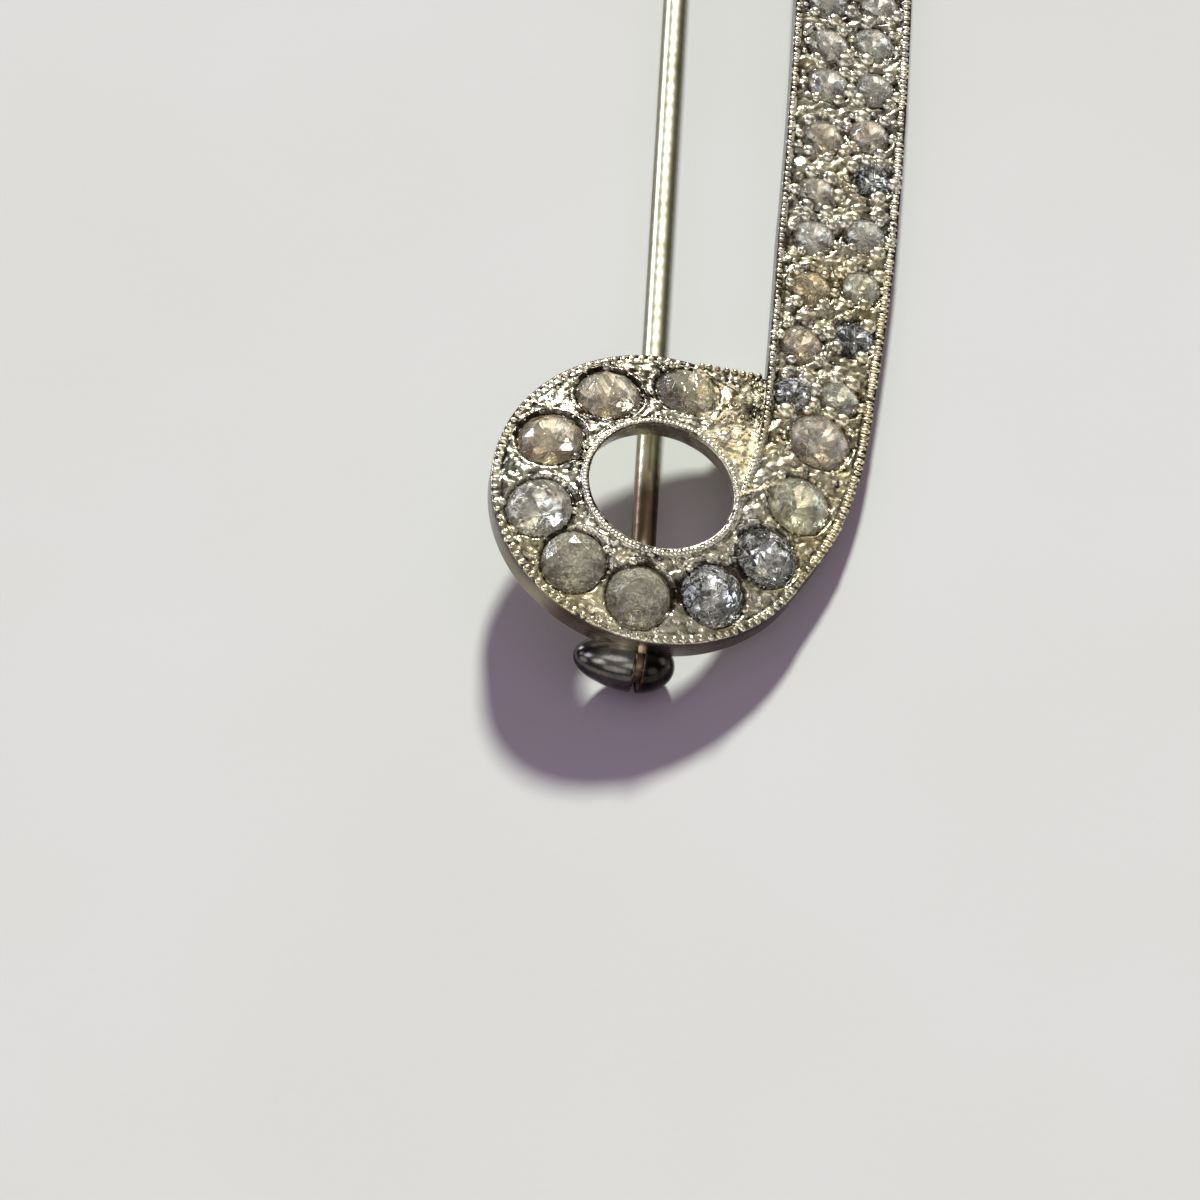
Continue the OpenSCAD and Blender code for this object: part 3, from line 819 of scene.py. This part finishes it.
def joint_domes():
    """Two smooth half domes of the ball joint, with the seam that the pin's eye turns in."""
    verts, faces, seam, grime_and_shade = [], [], [], []
    rings, around = 26, 56
    half_seam, edge_round, proud = 0.17, 0.05, 0.012
    for side, reach in ((-1, BALL_LEFT), (1, BALL_RIGHT)):
        first = len(verts)
        for i in range(rings + 1):
            t = math.pi / 2 * i / rings
            u = side * max(half_seam, (reach + 0.015) * math.sin(t))
            r = (BALL_R + proud) * (math.cos(t) if i < rings else 0.0) - (edge_round if i == 0 else 0)
            for j in range(around):
                a = TAU * j / around
                z = r * math.sin(a)
                verts.append((-WIRE_LEFT + u, -HINGE_DROP + r * math.cos(a), -WIRE_Z + z))
                seam.append(0.85 * bump01(abs(u) - half_seam, 0.07))
                # painted shade: the right half near black as if in shadow, partly stain; the left half darker
                # towards its foot, a painted reflection of the shaded floor
                low = max(0, -z / BALL_R)
                grime_and_shade.append(0.97 if side > 0 else min(1, 0.4 + 0.4 * low * low))
        for i in range(rings):
            for j in range(around):
                a, b = first + i * around + j, first + i * around + (j + 1) % around
                q = (a, b, b + around, a + around)
                faces.append(q if side < 0 else q[::-1])
    return piece("joint_domes", verts, faces, [gunmetal()], floats={"seam": seam, "grime_and_shade": grime_and_shade})


# rings of a cut stone's corners, from the table down: how many, radius and height as shares of
# the stone's diameter, turn as share of a step
TABLE = (8, 0.26, 0.235, 0)
KITES = (8, 0.4, 0.14, 0.5)
GIRDLE_TOP = (16, 0.5, 0.0, 0)
GIRDLE_FOOT = (16, 0.5, -0.045, 0)
PAVILION = (8, 0.27, -0.16, 0)
CULET = (1, 0.0, -0.245, 0)
# brightness of the foil behind a facet, a painted reflection standing in for what the facet reflects
FOIL_SHADES = (0.0, 0.15, 0.35, 0.6, 0.85, 1.0)


def cut_stone(name, place, d, glass, back, crumple, seed):
    """A round brilliant with crumpled foil behind it, set a little askew."""
    rng = random.Random(seed)
    skew = [Matrix.Rotation(math.radians(rng.uniform(-4, 4)), 4, axis) for axis in "XY"]
    m = bed_matrix(*place) @ skew[0] @ skew[1] @ Matrix.Rotation(rng.uniform(0, TAU), 4, "Z")
    verts, faces, index, cut = [], [], [], []
    halves = {}

    def ring(count, r, z, turn):
        first = len(verts)
        for i in range(count):
            a = TAU * (i + turn) / count
            verts.append(m @ Vector((r * d * math.cos(a), r * d * math.sin(a), z * d)))
        return [first + i for i in range(count)]

    t, k, g, h, p, c = [ring(*row) for row in (TABLE, KITES, GIRDLE_TOP, GIRDLE_FOOT, PAVILION, CULET)]

    def halfway(a, b):
        """Point halfway between two, out of true unless it is on the girdle."""
        key = (min(a, b), max(a, b))
        if key not in halves:
            lift = m.to_3x3() @ Vector((0, 0, rng.uniform(-crumple, crumple) * d))
            verts.append((verts[a] + verts[b]) / 2 + (Vector() if a in h and b in h else lift))
            halves[key] = len(verts) - 1
        return halves[key]

    def crown(*corners):
        faces.append(corners)
        index.append(0)
        cut.append(0.0)

    def foiled(a, b, c):
        x, y, z = halfway(a, b), halfway(b, c), halfway(c, a)
        # painted reflection: a brightness for each small facet
        for corners in ((a, x, z), (x, b, y), (z, y, c), (x, y, z)):
            faces.append(corners)
            index.append(1)
            cut.append(rng.choice(FOIL_SHADES))

    crown(*t)
    for i in range(8):
        j = (i + 1) % 8
        left, middle, right = 2 * i, 2 * i + 1, (2 * i + 2) % 16
        crown(t[i], k[i], t[j])
        crown(t[j], k[i], g[right], k[j])
        crown(k[i], g[left], g[middle])
        crown(k[i], g[middle], g[right])
        foiled(p[j], h[middle], h[right])
        foiled(p[i], h[left], h[middle])
        foiled(p[i], h[middle], p[j])
        foiled(p[i], p[j], c[0])
    for i in range(16):
        j = (i + 1) % 16
        crown(g[i], h[i], halfway(h[i], h[j]), h[j], g[j])
    return piece(name, verts, faces, [glass, back], smooth=False, floats={"cut": cut}, index=index)


def set_stones(kind, places, d, looks, seed):
    """Cuts the stones of one size, each in place of its plain solid."""
    for i, place in enumerate(places):
        glass, back = looks[i % len(looks)]
        name = f"{kind}_stone_{i + 1:02d}"
        crumple = CRUMPLE.get(back, LEAST_CRUMPLE)
        stone = cut_stone(f"cut_{name}", place, d, glass, FOILS[back], crumple, seed + i)
        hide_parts(name)


for name, metal in (("frame", PLAIN), ("hinge_rivet", PLAIN), ("pin_stem", wire_metal())):
    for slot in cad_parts[name].material_slots:
        slot.material = metal

cast_skin()
rim_beads()
prong_beads()
wedge_skin()
wedge_grains()
hole_rim_skin()
joint_domes()
set_stones("loop", loop_places, LOOP_D, LOOP_LOOKS, 20)
set_stones("bar", bar_places, BAR_D, BAR_LOOKS, 60)


# Floor, camera and light

def paper_floor():
    side = 0.6
    me = bpy.data.meshes.new("floor")
    corners = [(-side, -side, 0), (side, -side, 0), (side, side, 0), (-side, side, 0)]
    me.from_pydata(corners, [], [(0, 1, 2, 3)])
    me.materials.append(paper())
    floor = bpy.data.objects.new("floor", me)
    bpy.context.scene.collection.objects.link(floor)


paper_floor()

# The photograph: its width and the focal length in pixels, and the pixel of the hole's centre
PHOTO = 1200
FOCAL = 7700
HOLE_AT = (662, 486)
# The camera, seen from the brooch: height and azimuth of its view, distance in millimetres, and
# roll round the brooch's length against the lean
VIEW_HEIGHT = math.radians(56.5)
VIEW_TURN = math.radians(3)
VIEW_DISTANCE = 350
VIEW_ROLL = math.radians(12)
SENSOR = 36


def photo_camera():
    """A camera at the photograph's angle to the brooch."""
    right = Vector((math.cos(VIEW_TURN), math.sin(VIEW_TURN), 0))
    level = math.cos(VIEW_HEIGHT)
    ahead = Vector((-math.sin(VIEW_TURN) * level, math.cos(VIEW_TURN) * level, -math.sin(VIEW_HEIGHT)))
    up = right.cross(ahead)
    aside = right * (HOLE_AT[0] - PHOTO / 2) / FOCAL + up * (PHOTO / 2 - HOLE_AT[1]) / FOCAL
    turn = Matrix.Rotation(LEAN, 3, "Y") @ Matrix.Rotation(-VIEW_ROLL, 3, "Y")
    place = turn @ (-VIEW_DISTANCE * (ahead + aside)) + LIES_AT
    axes = Matrix((turn @ right, turn @ up, turn @ -ahead)).transposed().to_4x4()
    cam = bpy.data.objects.new("camera", bpy.data.cameras.new("camera"))
    cam.data.sensor_width = SENSOR
    cam.data.lens = SENSOR * FOCAL / PHOTO
    cam.data.clip_start = 0.02
    cam.data.clip_end = 10
    cam.matrix_world = Matrix.Translation(place * MM) @ axes
    bpy.context.scene.collection.objects.link(cam)
    bpy.context.scene.camera = cam


photo_camera()


def sun(name, direction, energy, colour, angle):
    """A lamp whose light travels along the direction."""
    data = bpy.data.lights.new(name, "SUN")
    data.energy = energy
    data.color = colour
    data.angle = angle
    ob = bpy.data.objects.new(name, data)
    ob.rotation_mode = "QUATERNION"
    ob.rotation_quaternion = Vector(direction).to_track_quat("-Z", "Y")
    bpy.context.scene.collection.objects.link(ob)
    return ob


sun("key", (-0.03, -1.6, -1), 4.35, (0.94, 1, 0.91), 0.11)
fill = sun("fill", (0, 0.2, -1), 0.8, (0.93, 0.72, 1), 2.6)
fill.visible_glossy = False
fill.visible_transmission = False

SKY = (0.1, 0.097, 0.088)
# soft patches of light round the brooch: azimuth, height, inner and outer angle in degrees, colour
ROOM = [
    (140, 16, 8, 11, (13, 13.8, 15.5)), (90, 56, 8, 30, (0.17, 0.165, 0.145)),
    (20, 52, 8, 36, (0.3, 0.29, 0.25)), (90, 88, 6, 24, (0.3, 0.29, 0.25)),
    (265, 54, 14, 36, (0.5, 0.48, 0.4)), (196, 43, 7, 12, (4.2, 4.6, 5.2)),
    (72, 35, 8, 17, (1.3, 1.2, 0.9)), (266, 66, 7, 13, (3.4, 3.4, 3.5)),
    (290, 40, 6, 12, (2.9, 2.8, 2.5)), (238, 38, 6, 12, (2.6, 2.7, 3.0)),
    (262, 20, 8, 14, (2.2, 2.2, 2.1)), (8, 14, 7, 13, (2.3, 2.4, 2.6)),
    (62, 12, 6, 12, (2.2, 2.1, 1.8)), (176, 26, 6, 11, (2.4, 2.5, 2.8)),
    (205, 14, 8, 15, (1.9, 1.75, 1.5)), (318, 15, 8, 15, (1.9, 2.0, 2.2)),
]


def studio():
    """The room that the metal and the stones reflect. It doesn't light the floor."""
    world = bpy.data.worlds.new("studio")
    world.use_nodes = True
    world.cycles_visibility.diffuse = False
    tree = Tree(world.node_tree)
    light = SKY
    for azimuth, height, inner, outer, colour in ROOM:
        a, b = math.radians(azimuth), math.radians(height)
        towards = Vector((math.cos(a) * math.cos(b), math.sin(a) * math.cos(b), math.sin(b)))
        near = tree.add("ShaderNodeVectorMath", operation="DOT_PRODUCT")
        tree.feed(near.inputs[0], tree.place["Generated"])
        tree.feed(near.inputs[1], towards)
        edges = [math.cos(math.radians(angle)) for angle in (outer, inner)]
        light = tree.mix(tree.spread(near.outputs["Value"], *edges, smooth=True), light, colour, "ADD")
    tree.feed(tree.nodes["Background"].inputs["Color"], light)
    bpy.context.scene.world = world


studio()
bpy.context.scene.view_settings.view_transform = "Standard"
